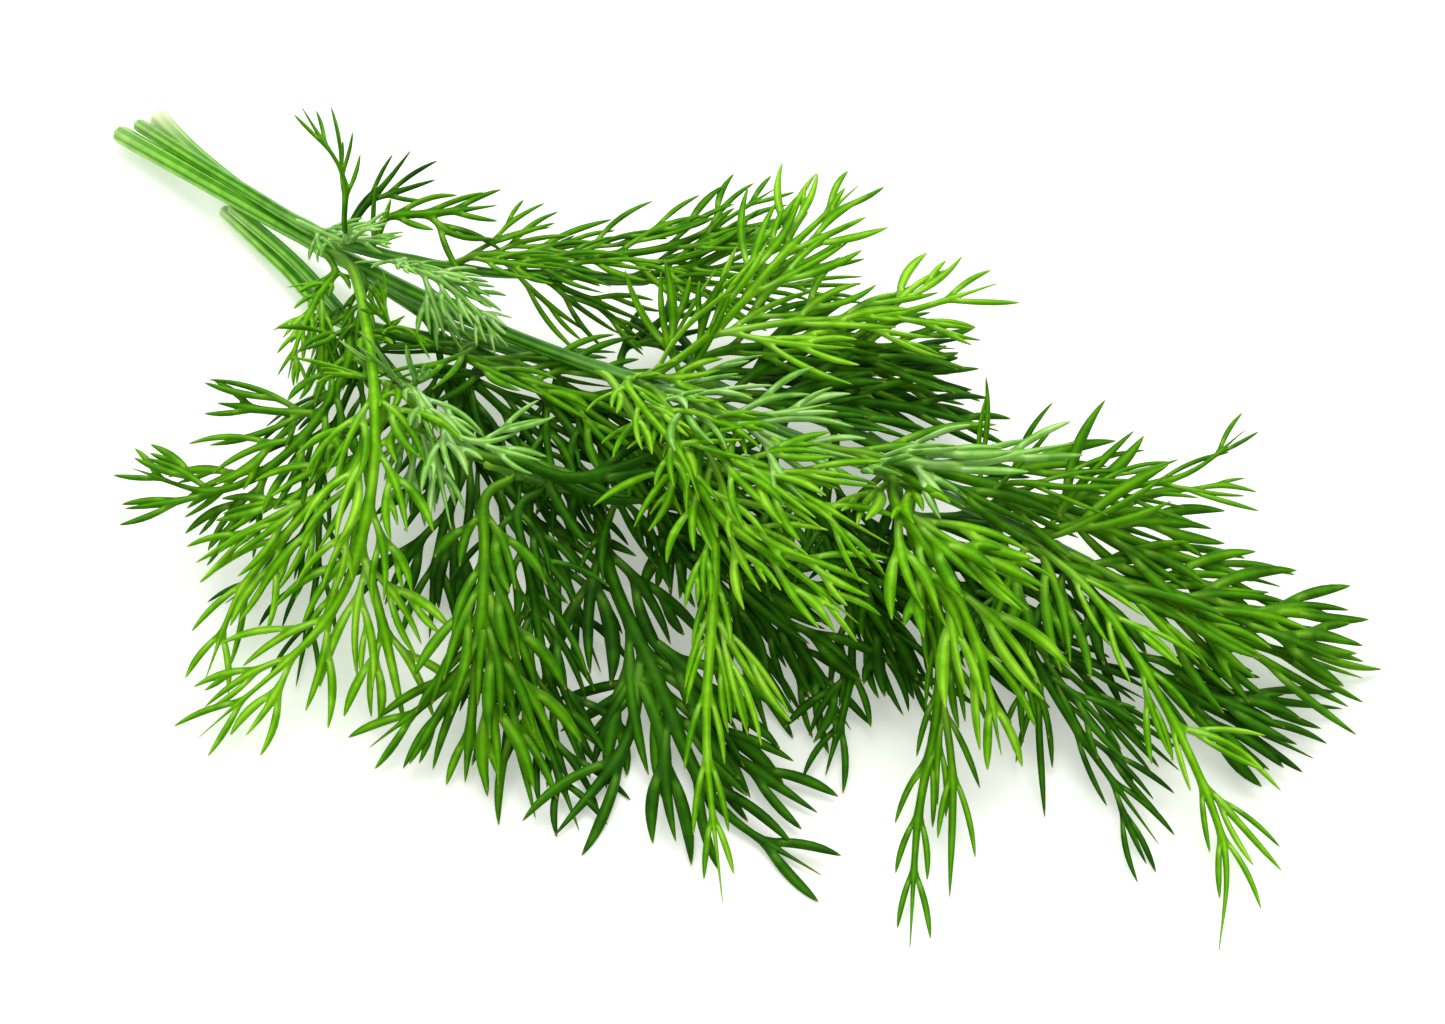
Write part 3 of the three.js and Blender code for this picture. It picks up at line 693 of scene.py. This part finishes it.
# A leaf's habit, in millimetres: gap between pairs of pinnae and of threads, longest thread, how
# much longer a pinna is than its leaf's reach, bare length at a rib's tip, and widths of a pinna
# and of a thread. Then the share of threads that fork once more, and how widely they all spread.
HABITS = {
    "feathery": dict(
        pinna_gap=9.6, thread_gap=6.2, longest=20.0, beyond=2.5, bare_tip=5.0, pinna=1.35,
        thread=1.7, forking=0.25, spread=1.0,
    ),
    "fine": dict(
        pinna_gap=8.0, thread_gap=5.0, longest=15.0, beyond=2.0, bare_tip=5.0, pinna=1.15,
        thread=1.4, forking=0.25, spread=1.0,
    ),
    "swept": dict(
        pinna_gap=9.6, thread_gap=7.6, longest=23.0, beyond=4.0, bare_tip=6.0, pinna=1.65,
        thread=2.3, forking=0.2, spread=0.8,
    ),
    "trailing": dict(
        pinna_gap=9.5, thread_gap=6.6, longest=20.0, beyond=3.0, bare_tip=11.0, pinna=1.15,
        thread=1.4, forking=0.15, spread=0.62,
    ),
    "wispy": dict(
        pinna_gap=10.0, thread_gap=6.5, longest=16.0, beyond=2.0, bare_tip=6.0, pinna=1.0,
        thread=1.25, forking=0.1, spread=0.9,
    ),
    "coarse": dict(
        pinna_gap=14.0, thread_gap=9.8, longest=26.0, beyond=5.0, bare_tip=9.0, pinna=2.0,
        thread=2.6, forking=0.2, spread=0.8,
    ),
    "young": dict(
        pinna_gap=4.0, thread_gap=2.8, longest=6.0, beyond=0.0, bare_tip=1.5, pinna=1.05,
        thread=1.25, forking=0.0, spread=1.0,
    ),
}


THREAD_FLATNESS = 0.5  # a thread's thickness as a share of its width
THREAD_WAIST = 0.7  # how much of its width a thread has where it leaves its pinna
FORKING_LENGTH = 7 * MM  # a shorter thread never forks
MISSING_THREADS = 0.18  # the share of threads that didn't grow


def grow_thread(bm, layers, rng, habit, start, side, spot, length, tint):
    """One thread, which may carry a shorter one."""
    angles = (rng.uniform(24, 38) * habit["spread"], rng.uniform(-10, 4))
    path = arc(
        start, spot, side, angles, length,
        rng.uniform(-0.2, 0.25), rng.uniform(0.0, 0.2), rng.uniform(-0.7, 0.7),
    )
    wide = habit["thread"] * MM * rng.uniform(0.85, 1.1)
    forks = []
    if length > FORKING_LENGTH and rng.random() < habit["forking"]:
        forks = [length * rng.uniform(0.3, 0.45)]
    shape = (wide, wide * THREAD_FLATNESS, wide * 1.2, THREAD_STEP, THREAD_WAIST, 0.5)
    flanks = strand(bm, layers, start, path, shape, forks, tint)
    chosen = rng.choice((-1, 1))
    for twig_start, fork_side, fork, fork_spot in flanks:
        if fork_side == chosen:
            twig = arc(
                twig_start, fork_spot, fork_side, (32, 4),
                (length - fork) * rng.uniform(0.6, 0.85), rng.uniform(-0.1, 0.1), 0.1, 0.0,
            )
            slim = (wide * 0.9, wide * 0.55, wide, THREAD_STEP, THREAD_WAIST, 0.5)
            strand(bm, layers, twig_start, twig, slim, [], tint)


def grow_pinna(bm, layers, rng, habit, start, side, spot, length):
    """A pinna and the threads on both sides of it."""
    tint = rng.uniform(-1, 1)
    angles = (rng.uniform(27, 40) * habit["spread"], rng.uniform(0, 13) * habit["spread"])
    path = arc(
        start, spot, side, angles, length,
        rng.uniform(-0.1, 0.45), rng.uniform(0.05, 0.25), rng.uniform(-0.6, 0.6),
    )
    wide = habit["pinna"] * MM
    gap = habit["thread_gap"] * MM
    forks = []
    place = gap * rng.uniform(0.6, 1.0)
    while place < length - gap * 1.2:
        forks.append(place)
        place += gap * rng.uniform(0.85, 1.15)
    shape = (wide, wide * 0.66, habit["thread"] * MM * 1.2, THREAD_STEP, 0.85, 0.6)
    flanks = strand(bm, layers, start, path, shape, forks, tint)
    for thread_start, thread_side, fork, thread_spot in flanks:
        if rng.random() < MISSING_THREADS:
            continue
        room = min(habit["longest"] * MM, (length - fork) * rng.uniform(0.8, 1.05) + gap * 0.35)
        grow_thread(bm, layers, rng, habit, thread_start, thread_side, thread_spot, room, tint)


# %% [markdown]
# ## A whole leaf
#
# The leaf starts as a small block sunk in its stem's skin, wide like the sheath that clasps a
# stem. Its front face grows into the main rib. Side ribs and pinnae both leave from collars on it,
# so a leaf is one closed skin from its sheath to its last thread.

# %% Leaves
SHEATH_DEPTH = 6 * MM  # how far back inside the stem a leaf's path starts
FORK_GAP = 3.4 * MM  # kept between a pinna's fork and a side rib's
SIDE_RIB_GAP = 3 * MM  # kept between two side ribs
SHORTEST_PINNA = 2.5 * MM
SHORTEST_BARE = 7 * MM  # of a main rib before its first pinnae


def first_block(bm, layers, spot, width, thick):
    """A small block at the start of a path, and its front face."""
    place, head, upper = spot
    turn = Matrix((head, upper.cross(head), upper)).transposed().to_4x4()
    size = Matrix.Diagonal((1.0 * MM, width, thick, 1))
    matrix = Matrix.Translation(place - head * 0.5 * MM) @ turn @ size
    bmesh.ops.create_cube(bm, size=1, matrix=matrix)
    bm.normal_update()
    front = max(bm.faces, key=lambda face: face.normal.dot(head))
    return front, corners_of(front, upper)


def main_path(stem, share, route):
    """From the middle of the stem, out through its skin at a slant, and along the rib's route."""
    place, head, _ = stem_paths[stem].at(stem_paths[stem].length * share)
    outward = route[0] - place
    outward = (outward - head * outward.dot(head)).normalized()
    radius = stem_radius(stem, share)
    lowest = place - head * SHEATH_DEPTH
    leaving = place + outward * radius * 0.8
    return Path(curve_points([lowest, leaving, *route]), UP)


def nearest_distance(path, place):
    """The distance along a path of its point nearest to a place."""
    k = min(range(len(path.points)), key=lambda i: (path.points[i] - place).length)
    return path.reach[k]


def fork_places(path, bare, bare_tip, gap, taken, rng):
    """Distances of the forks along a rib: even, but clear of the side ribs' own."""
    places = list(taken)
    place = bare
    while place < path.length - bare_tip:
        if all(abs(place - other) > FORK_GAP for other in taken):
            places.append(place)
        place += gap * rng.uniform(0.85, 1.15)
    return sorted(places)


def grow_rib(bm, layers, rng, habit, start, path, reach, bare, shape, side_ribs):
    """A rib with its pinnae. side_ribs are (distance, longest pinna, route) of ribs that fork off."""
    taken = [distance for distance, _, _ in side_ribs]
    forks = fork_places(path, bare, habit["bare_tip"] * MM, habit["pinna_gap"] * MM, taken, rng)
    flanks = strand(bm, layers, start, path, shape, forks, rng.uniform(-0.3, 0.3))
    for side_start, side, fork, spot in flanks:
        here = next((item for item in side_ribs if item[0] == fork), None)
        if here:
            route = here[2]
            left = spot[2].cross(spot[1])
            if math.copysign(1, (route[1] - spot[0]).dot(left)) == side:
                leaving = side_start[0].calc_center_median()
                side_path = Path(curve_points([leaving, *route[1:]]), spot[2])
                slim = (shape[0] * 0.85, shape[1] * 0.85, *shape[2:])
                grow_rib(bm, layers, rng, habit, side_start, side_path, here[1], SIDE_RIB_GAP, slim, [])
                continue
        share = max(0.0, (fork - bare) / (path.length - bare))
        length = (reach * (1.15 - 0.4 * share) + habit["beyond"]) * MM * rng.uniform(0.8, 1.15)
        length = min(length, (path.length - fork) * rng.uniform(0.85, 1.1) + 2 * MM)
        if length > SHORTEST_PINNA and fork >= bare * 0.99:
            grow_pinna(bm, layers, rng, habit, side_start, side, spot, length)


def grow_leaf(name):
    """A leaf's mesh as an object."""
    stem, share, tone, habit_name, bare_share, ribs = LEAVES[name]
    rng = random.Random(name)
    habit = HABITS[habit_name]
    routes = [in_metres(route, SHIFT) for _, route in ribs]
    path = main_path(stem, share, routes[0])
    bm, layers = opened_mesh()
    rib_wide = (habit["pinna"] + path.length / (200 * MM)) * MM
    sheath = first_block(bm, layers, path.at(0), rib_wide * 1.5, rib_wide)
    side_ribs = []
    for (reach, _), route in zip(ribs[1:], routes[1:]):
        distance = max(nearest_distance(path, route[0]), SIDE_RIB_GAP)
        while any(abs(distance - other[0]) < SIDE_RIB_GAP for other in side_ribs):
            distance += SIDE_RIB_GAP
        side_ribs.append((min(distance, path.length - 8 * MM), reach, route))
    side_ribs.sort(key=lambda item: item[0])
    shape = (rib_wide, rib_wide * 0.8, habit["pinna"] * 1.3 * MM, RIB_STEP, 1.0, 0.6)
    bare = max(SHORTEST_BARE, path.length * bare_share)
    grow_rib(bm, layers, rng, habit, sheath, path, ribs[0][0], bare, shape, side_ribs)
    return finished(bm, name + "_threads", 1)


def finished(bm, name, levels):
    """Turns a bmesh into a smooth object, with its place in its mesh."""
    bmesh.ops.recalc_face_normals(bm, faces=bm.faces)
    mesh = bpy.data.meshes.new(name)
    bm.to_mesh(mesh)
    bm.free()
    mesh.shade_smooth()
    piece = bpy.data.objects.new(name, mesh)
    bpy.context.scene.collection.objects.link(piece)
    rounding = piece.modifiers.new("rounding", "SUBSURF")
    rounding.levels = levels
    rounding.render_levels = levels
    return piece


# %% [markdown]
# ## Stems
#
# A dill stem is finely ribbed: pale raised ridges with darker green between them. The section is a
# circle whose every second vertex stands out a little, extruded ring by ring like the threads. It
# swells where leaves leave it. The cut end shows its pale pith, made by an inset pushed inwards.

# %% Stem section and length
STEM_SIZES = {  # radius at the cut end and at the tip, in mm
    "front_stem": (1.6, 0.8),
    "middle_stem": (1.2, 0.7),
    "back_stem": (1.3, 0.8),
    "lower_stem": (1.3, 0.8),
    "side_stem": (1.1, 0.9),
}
PITH = {  # how far the skin whitens at the cut end
    "front_stem": 0.25, "middle_stem": 0.3, "back_stem": 1.0, "lower_stem": 0.5, "side_stem": 0.3,
}
RIDGES = 11
RIDGE_HEIGHT = 0.14  # as a share of the stem's radius
# Round a leaf's start the stem swells and is paler; the paleness is partly a painted sheen.
NODE_SWELL = 2.6 * MM  # how far along a stem it swells round a leaf's start
NODE_PALE = 9 * MM  # and how far it is paler
FLARE_LENGTH = 6 * MM  # how far the cut end's flare reaches
PITH_LENGTH = 5 * MM  # how far the cut end's whiteness reaches
CUT_RIM = 0.28 * MM
PITH_RIM = 0.25 * MM
PITH_DEPTH = 0.7 * MM


def nearness(stem, share, spread):
    """How near a place on a stem is to where a leaf leaves it: 1 there, 0 well away."""
    leaves = [leaf[1] for leaf in LEAVES.values() if leaf[0] == stem]
    gap = min(abs(share - other) for other in leaves) * stem_paths[stem].length
    return math.exp(-(gap / spread) ** 2)


def stem_radius(stem, share):
    """A stem's radius at a share of its length, swollen where a leaf starts."""
    base, tip = STEM_SIZES[stem]
    return (base + (tip - base) * share) * (1 + 0.2 * nearness(stem, share, NODE_SWELL)) * MM


def grow_stem(name):
    """A stem's mesh as an object."""
    path = stem_paths[name]
    bm = bmesh.new()
    ridge = bm.verts.layers.float.new("ridge")
    along = bm.verts.layers.float.new("along")
    pith = bm.verts.layers.float.new("pith")
    node = bm.verts.layers.float.new("node")
    bmesh.ops.create_cone(
        bm, cap_ends=True, segments=RIDGES * 2, radius1=1, radius2=1, depth=1
    )
    cut, face = sorted((f for f in bm.faces if len(f.verts) > 4), key=lambda f: f.normal.z)
    rings = math.ceil(path.length / STEM_STEP)
    flare = 1.5 if name == "back_stem" else 1.06
    turns = {}
    for vert in (*cut.verts, *face.verts):
        turns[vert] = math.atan2(vert.co.y, vert.co.x)
    angles = [turns[vert] for vert in face.verts]
    for k in range(rings + 1):
        share = k / rings
        place, head, upper = path.at(path.length * share)
        if k > 1:
            face = bmesh.ops.extrude_discrete_faces(bm, faces=[face])["faces"][0]
        left = upper.cross(head)
        widen = (flare - 1) * math.exp(-share * path.length / FLARE_LENGTH)
        radius = stem_radius(name, share) * (1 + widen)
        if k == rings:
            radius *= 0.4
        rim = cut if k == 0 else face
        for n, vert in enumerate(rim.verts):
            angle = turns[vert] if k == 0 else angles[n]
            high = round(angle / math.tau * RIDGES * 2) % 2
            reach = radius * (1 + RIDGE_HEIGHT * (high - 0.5))
            vert.co = place - left * (math.cos(angle) * reach) + upper * (math.sin(angle) * reach)
            vert.co.z = max(vert.co.z, 0.0)
            vert[ridge] = high
            vert[along] = share
            vert[pith] = PITH[name] * math.exp(-share * path.length / PITH_LENGTH)
            vert[node] = nearness(name, share, NODE_PALE)
    bmesh.ops.inset_individual(bm, faces=[cut], thickness=CUT_RIM, depth=-0.05 * MM)
    bmesh.ops.inset_individual(bm, faces=[cut], thickness=PITH_RIM, depth=-PITH_DEPTH)
    return finished(bm, name + "_ridged", 1)

# %% [markdown]
# ## Growing the bunch
#
# Each leaf and each stem is grown as one piece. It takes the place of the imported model's part of
# the same name and lies on the same body.

# %% Grow leaves and stems
pieces = {name: grow_leaf(name) for name in LEAVES}
stems = {name: grow_stem(name) for name in STEM_ROUTES}
faces = sum(len(piece.data.polygons) for piece in (*pieces.values(), *stems.values()))
print("leaves:", len(pieces), "stems:", len(stems), "cage faces:", faces)
print("largest cage:", max((len(piece.data.polygons), name) for name, piece in pieces.items()))

# %% [markdown]
# ## Materials
#
# A material starts from what the real one is. Colours are written as sRGB hex and turned linear by
# one function, and one helper adds a node, links its inputs and sets its stops.

# %% Colour and node helpers
def colour(code):
    """An sRGB hex colour as linear RGBA."""
    parts = [int(code[i:i + 2], 16) / 255 for i in (1, 3, 5)]
    return (*[c / 12.92 if c <= 0.04045 else ((c + 0.055) / 1.055) ** 2.4 for c in parts], 1.0)


def add(tree, kind, inputs=(), stops=(), **settings):
    """Adds a node.

    inputs maps a socket's name or number to a value or to another node's socket, and stops are a
    colour ramp's (position, hex colour).
    """
    made = tree.nodes.new(kind)
    for name, value in settings.items():
        setattr(made, name, value)
    for name, value in dict(inputs).items():
        if isinstance(value, bpy.types.NodeSocket):
            tree.links.new(value, made.inputs[name])
        else:
            made.inputs[name].default_value = value
    for k, (position, code) in enumerate(stops):
        elements = made.color_ramp.elements
        element = elements[k] if k < len(elements) else elements.new(position)
        element.position = position
        element.color = colour(code)
    return made


# %% [markdown]
# ### Leaf tissue
#
# Fresh dill leaf: soft green tissue with a thin, slightly waxy skin that gives a broad dull sheen.
# Old growth and the undersides are deep green, young growth is yellow-green. The dark tone on the
# inner and lower leaves also holds painted shade, and the pale tone on the upper leaves a painted
# sheen. Threads are paler where they fork and a touch yellower at the tip.

# %% Leaf materials
LEAF_TONES = {  # shade side, main, lit side, fork
    # Beside the leaves' own young and old greens, the pale tone holds a painted sheen for the upper
    # leaves and the dark tone painted shade for the inner and lower ones.
    "pale": ("#68ac3a", "#96d45e", "#c4f096", "#c2eca0"),
    "bright": ("#4c9600", "#74be08", "#a4e434", "#a4de50"),
    "mid": ("#387200", "#509600", "#70b40c", "#88c234"),
    "dark": ("#1e4e00", "#306c00", "#468a02", "#629c28"),
}


def leaf_material(tone):
    """Dill leaf tissue: soft, slightly waxy."""
    shade, main, lit, fork = LEAF_TONES[tone]
    material = bpy.data.materials.new("dill_leaf_" + tone)
    material.use_nodes = True
    tree = material.node_tree
    tree.nodes.clear()
    tint = add(tree, "ShaderNodeAttribute", attribute_name="tint")
    along = add(tree, "ShaderNodeAttribute", attribute_name="along")
    place = add(tree, "ShaderNodeTexCoord")
    patches = add(
        tree, "ShaderNodeTexNoise",
        {"Vector": place.outputs["Object"], "Scale": 180.0, "Detail": 3.0, "Roughness": 0.6},
    )
    tinted = add(
        tree, "ShaderNodeMath", {0: tint.outputs["Fac"], 1: 0.16, 2: patches.outputs["Fac"]},
        operation="MULTIPLY_ADD",
    )
    green = add(
        tree, "ShaderNodeValToRGB", {"Fac": tinted.outputs[0]},
        ((0.25, shade), (0.5, main), (0.78, lit)),
    ).outputs["Color"]
    base_pale = add(
        tree, "ShaderNodeValToRGB", {"Fac": along.outputs["Fac"]},
        ((0.0, "#ffffff"), (0.3, "#000000")),
    ).outputs["Color"]
    pale = add(
        tree, "ShaderNodeMix", {0: base_pale, 6: green, 7: colour(fork)}, data_type="RGBA",
    )
    # Every strand is painted darker along both flanks and left lighter down its middle: painted shade
    # where its rounded sides turn from the light.
    flank = add(tree, "ShaderNodeAttribute", attribute_name="flank")
    outward = add(tree, "ShaderNodeMath", {0: flank.outputs["Fac"]}, operation="ABSOLUTE")
    edge = add(
        tree, "ShaderNodeValToRGB", {"Fac": outward.outputs[0]},
        ((0.2, "#ffffff"), (0.8, "#c4cabc")),
    ).outputs["Color"]
    shaded_edges = add(
        tree, "ShaderNodeMix", {0: 1.0, 6: pale.outputs[2], 7: edge},
        data_type="RGBA", blend_type="MULTIPLY",
    )
    dried = add(
        tree, "ShaderNodeValToRGB", {"Fac": along.outputs["Fac"]},
        ((0.94, "#000000"), (1.0, "#a0a0a0")),
    ).outputs["Color"]
    tipped = add(
        tree, "ShaderNodeMix", {0: dried, 6: shaded_edges.outputs[2], 7: colour("#b4a040")},
        data_type="RGBA",
    )
    grain = add(
        tree, "ShaderNodeTexNoise",
        {"Vector": place.outputs["Object"], "Scale": 2600.0, "Detail": 2.0},
    )
    bump = add(
        tree, "ShaderNodeBump",
        {"Height": grain.outputs["Fac"], "Strength": 0.25, "Distance": 0.00008},
    )
    shader = add(
        tree, "ShaderNodeBsdfPrincipled",
        {
            "Base Color": tipped.outputs[2], "Normal": bump.outputs["Normal"], "Roughness": 0.5,
            "Specular IOR Level": 0.06,
            "Subsurface Weight": 0.12, "Subsurface Radius": (0.4, 1.0, 0.1),
            "Subsurface Scale": 0.0006,
        },
    )
    add(tree, "ShaderNodeOutputMaterial", {"Surface": shader.outputs[0]})
    return material


leaf_materials = {tone: leaf_material(tone) for tone in LEAF_TONES}
for name, piece in pieces.items():
    tone = LEAVES[name][2]
    piece.data.materials.append(leaf_materials[tone])
    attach(piece, "root")
    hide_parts(name)
print("leaf materials:", list(leaf_materials))

# %% [markdown]
# ### Stem skin
#
# Dill stem: tight, slightly glossy skin, with pale raised ridges and greener grooves between
# them. Round each leaf's start it is paler, partly its own colour and partly a painted sheen.
# Towards the cut end it whitens, and the cut shows white pith.

# %% Stem material
def stem_material():
    """Ribbed herb stem: smooth, slightly glossy skin with pale ridges."""
    material = bpy.data.materials.new("dill_stem")
    material.use_nodes = True
    tree = material.node_tree
    tree.nodes.clear()
    ridge = add(tree, "ShaderNodeAttribute", attribute_name="ridge")
    along = add(tree, "ShaderNodeAttribute", attribute_name="along")
    pith = add(tree, "ShaderNodeAttribute", attribute_name="pith")
    place = add(tree, "ShaderNodeTexCoord")
    streaks = add(
        tree, "ShaderNodeTexNoise",
        {"Vector": place.outputs["Object"], "Scale": 350.0, "Detail": 3.0},
    )
    groove = add(
        tree, "ShaderNodeValToRGB", {"Fac": along.outputs["Fac"]},
        ((0.0, "#58a614"), (0.25, "#3c8a08"), (0.5, "#286604")),
    ).outputs["Color"]
    crest = add(
        tree, "ShaderNodeValToRGB", {"Fac": along.outputs["Fac"]},
        ((0.0, "#9cde48"), (0.25, "#7cc830"), (0.5, "#589e1e")),
    ).outputs["Color"]
    edges = add(
        tree, "ShaderNodeValToRGB", {"Fac": ridge.outputs["Fac"]},
        ((0.3, "#000000"), (0.85, "#ffffff")),
    ).outputs["Color"]
    skin = add(tree, "ShaderNodeMix", {0: edges, 6: groove, 7: crest}, data_type="RGBA")
    # Paler skin round each leaf's start: partly the node's own paler green, partly a painted sheen that
    # the skin shows there.
    node = add(tree, "ShaderNodeAttribute", attribute_name="node")
    young = add(
        tree, "ShaderNodeValToRGB", {"Fac": node.outputs["Fac"]},
        ((0.2, "#000000"), (1.0, "#808080")),
    ).outputs["Color"]
    nodes = add(
        tree, "ShaderNodeMix", {0: young, 6: skin.outputs[2], 7: colour("#94d060")},
        data_type="RGBA",
    )
    mottle = add(
        tree, "ShaderNodeValToRGB", {"Fac": streaks.outputs["Fac"]},
        ((0.3, "#ccd8c0"), (0.6, "#ffffff")),
    ).outputs["Color"]
    mottled = add(
        tree, "ShaderNodeMix", {0: 1.0, 6: nodes.outputs[2], 7: mottle},
        data_type="RGBA", blend_type="MULTIPLY",
    )
    coloured = add(
        tree, "ShaderNodeMix",
        {0: pith.outputs["Fac"], 6: mottled.outputs[2], 7: colour("#e9f0c8")},
        data_type="RGBA",
    )
    shader = add(
        tree, "ShaderNodeBsdfPrincipled",
        {"Base Color": coloured.outputs[2], "Roughness": 0.36, "Specular IOR Level": 0.18,
         "Subsurface Weight": 0.08, "Subsurface Radius": (0.6, 1.0, 0.3),
         "Subsurface Scale": 0.001},
    )
    add(tree, "ShaderNodeOutputMaterial", {"Surface": shader.outputs[0]})
    return material


stem_skin = stem_material()
for name, piece in stems.items():
    piece.data.materials.append(stem_skin)
    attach(piece, "root")
    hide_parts(name)

# %% [markdown]
# ## Floor, light and camera
#
# The bunch lies on a plain white light table, whose own faint glow keeps the shadows pale. A wide
# soft lamp stands above and a little behind it, and a pale surround fills the rest.

# %% Floor
floor_mesh = bpy.data.meshes.new("floor")
bm = bmesh.new()
bmesh.ops.create_grid(bm, x_segments=1, y_segments=1, size=4)
bm.to_mesh(floor_mesh)
bm.free()
floor = bpy.data.objects.new("floor", floor_mesh)
bpy.context.scene.collection.objects.link(floor)
paper = bpy.data.materials.new("white_surface")
paper.use_nodes = True
paper.node_tree.nodes.clear()
matte = add(
    paper.node_tree, "ShaderNodeBsdfPrincipled",
    {
        "Base Color": colour("#f0f1ec"), "Roughness": 0.9, "Specular IOR Level": 0.0,
        "Emission Color": colour("#f8fbf2"), "Emission Strength": 0.35,
    },
)
add(paper.node_tree, "ShaderNodeOutputMaterial", {"Surface": matte.outputs[0]})
floor_mesh.materials.append(paper)

# %% Light
world = bpy.data.worlds.new("surround")
world.use_nodes = True
world.node_tree.nodes["Background"].inputs["Color"].default_value = (1, 1, 1, 1)
world.node_tree.nodes["Background"].inputs["Strength"].default_value = 0.8
bpy.context.scene.world = world


def soft_lamp(name, place, size, power):
    """A square lamp that faces the bunch."""
    light = bpy.data.lights.new(name, "AREA")
    light.size = size
    light.energy = power
    lamp = bpy.data.objects.new(name, light)
    lamp.location = place
    lamp.rotation_euler = (-Vector(place)).to_track_quat("-Z", "Y").to_euler()
    bpy.context.scene.collection.objects.link(lamp)


soft_lamp("overhead", (-0.25, 0.45, 1.1), 0.9, 9.0)

# %% Camera
AZIMUTH, ELEVATION, DISTANCE = math.radians(35), math.radians(52), 0.55
target = SHIFT + UP * 10 * MM
back = Vector((
    math.sin(AZIMUTH) * math.cos(ELEVATION), -math.cos(AZIMUTH) * math.cos(ELEVATION),
    math.sin(ELEVATION),
))
lens = bpy.data.cameras.new("camera")
lens.lens = 85
lens.sensor_width = 36
camera = bpy.data.objects.new("camera", lens)
camera.location = target + back * DISTANCE
camera.rotation_euler = (-back).to_track_quat("-Z", "Y").to_euler()
bpy.context.scene.collection.objects.link(camera)
bpy.context.scene.camera = camera
bpy.context.scene.view_settings.view_transform = "Standard"
